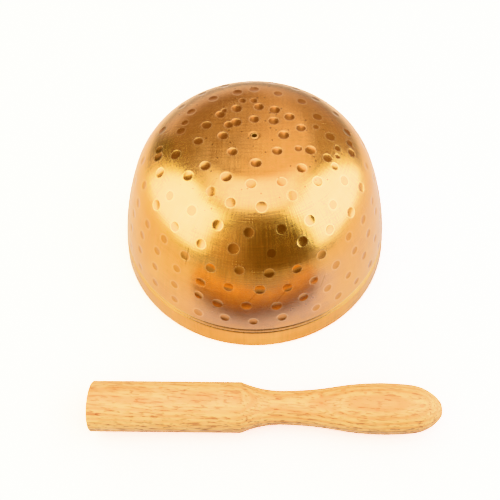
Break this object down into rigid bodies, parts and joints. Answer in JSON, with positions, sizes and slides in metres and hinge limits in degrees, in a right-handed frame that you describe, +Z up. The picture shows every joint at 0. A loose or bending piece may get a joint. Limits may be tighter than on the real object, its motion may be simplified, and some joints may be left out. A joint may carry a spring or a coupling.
{
  "type": "singing bowl",
  "caption": "Hammered brass singing bowl resting mouth down, with a turned wooden mallet lying beside it; struck or rubbed on the rim to ring.",
  "frame": {"origin": "the middle of the bowl's mouth, on the surface that the bowl rests on", "axes": "+Z up along the bowl's axis, from its mouth to its base; the mallet lies along X on the -Y side, with its head towards +X"},
  "size_m": [0.1443, 0.1741, 0.0688],
  "materials": {
    "bowl_brass": "satin, turned and hammered",
    "mallet_wood": "sanded bare beech"
  },
  "bodies": {
    "bowl": {"bowl": "bowl_brass"},
    "mallet": {"mallet": "mallet_wood"}
  },
  "joints": [
    {"name": "mallet_lift", "type": "slide", "parent": "bowl", "child": "mallet", "axis": [0, 0, 1], "range_m": [0, 0.15]}
  ]
}
